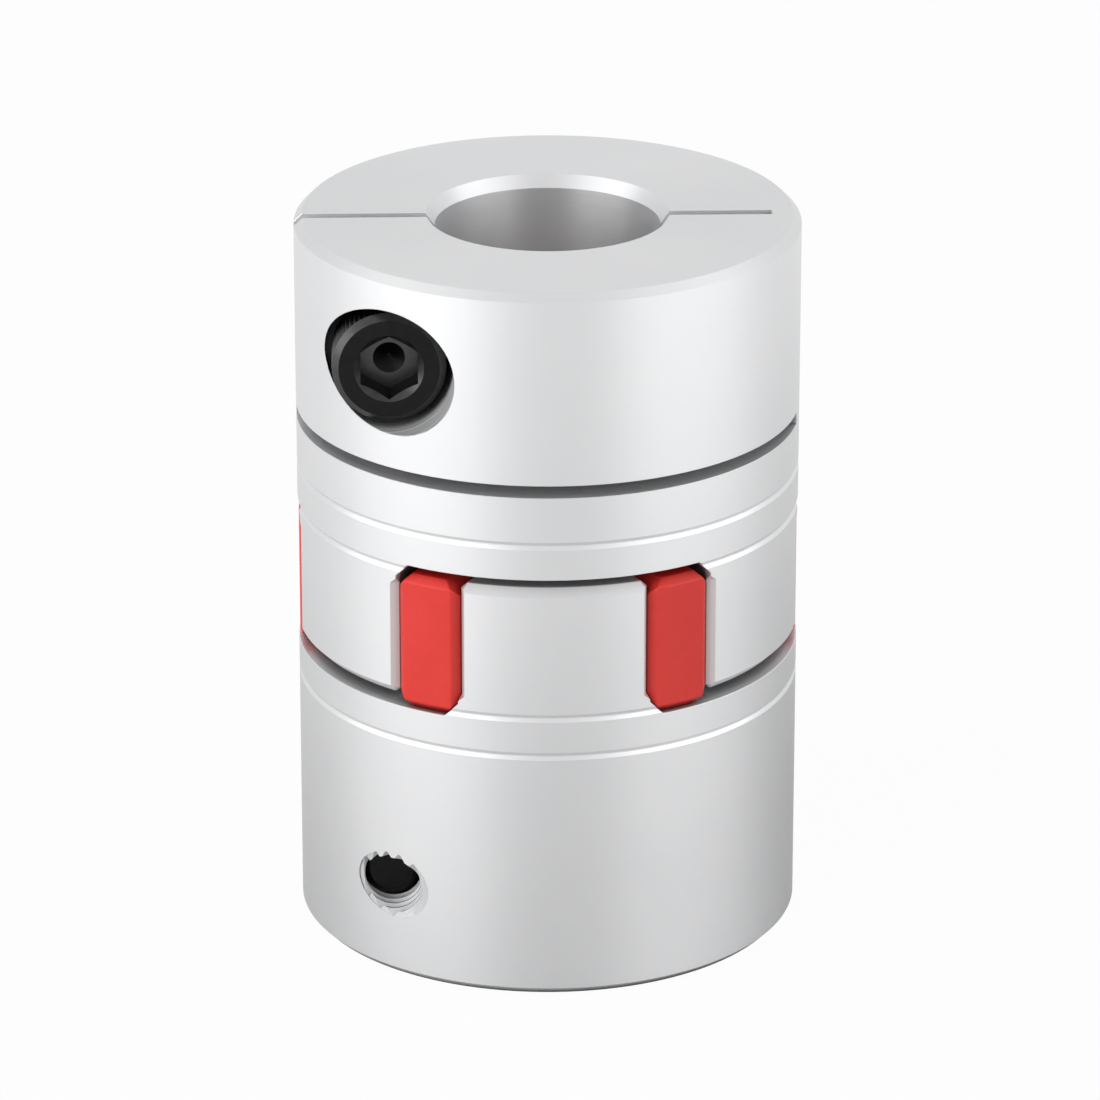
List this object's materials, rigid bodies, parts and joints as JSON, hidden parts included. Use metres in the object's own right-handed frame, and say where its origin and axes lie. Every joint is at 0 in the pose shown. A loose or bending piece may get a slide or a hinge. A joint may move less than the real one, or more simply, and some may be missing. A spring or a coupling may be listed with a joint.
{
  "type": "flexible coupling",
  "caption": "Jaw coupling: slit aluminium clamp hubs, a red elastic spider between their jaws, and cap screws; joins shafts end to end and takes up slight misalignment.",
  "frame": {"origin": "centre of the lower hub's outer face, on which the coupling stands", "axes": "+Z along the shaft axis, upwards; -X towards the open side of the clamp slits; -Y towards the head of the upper clamp screw"},
  "size_m": [0.045, 0.045, 0.066],
  "materials": {
    "hub": "turned, satin, clear anodised",
    "spider": "moulded polyurethane, matt",
    "screw": "black oxide steel, satin"
  },
  "bodies": {
    "root": {"upper_hub": "hub", "lower_hub": "hub", "spider": "spider", "upper_clamp_screw": "screw", "lower_clamp_screw": "screw"}
  },
  "joints": []
}
